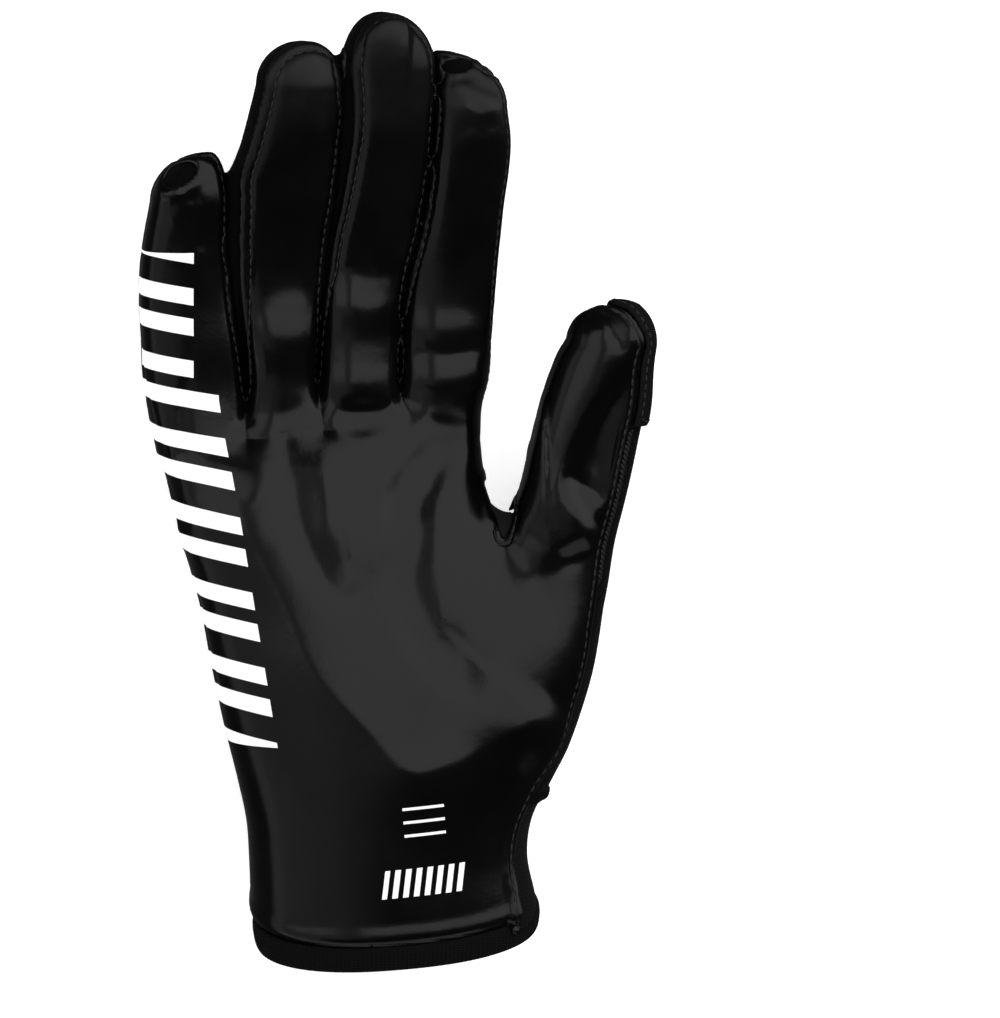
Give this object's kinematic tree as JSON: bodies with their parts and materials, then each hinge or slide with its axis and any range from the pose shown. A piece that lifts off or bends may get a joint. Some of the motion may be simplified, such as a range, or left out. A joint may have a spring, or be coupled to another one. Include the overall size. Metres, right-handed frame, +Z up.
{
  "type": "football glove",
  "caption": "Right-hand american football receiver glove with a coated grip palm, stretch-knit back and ribbed elastic hem, palm up and filled as on a hand.",
  "frame": {"origin": "on the surface that the glove lies on, below the middle of its box", "axes": "+X towards the thumb, +Y towards the fingertips, +Z up out of the palm"},
  "size_m": [0.1276, 0.2408, 0.0425],
  "materials": {
    "palm_leather": "black coated synthetic leather, smooth, tacky and glossy, with soft broad reflections",
    "back_knit": "black fine-rib stretch knit, matt",
    "gusset_fabric": "black stretch fabric, matt",
    "guard_fabric": "black close-woven reinforcing fabric, slightly satin",
    "seam_thread": "black overlock thread, slightly lustrous",
    "ribbed_elastic": "black ribbed elastic tape, matt"
  },
  "bodies": {
    "root": {"palm_leather": "palm_leather", "hand_back": "back_knit", "thumb_gusset": "gusset_fabric", "thumb_guard": "guard_fabric", "thumb_seam": "seam_thread", "wrist_gusset": "ribbed_elastic", "cuff_binding": "ribbed_elastic"}
  },
  "joints": []
}
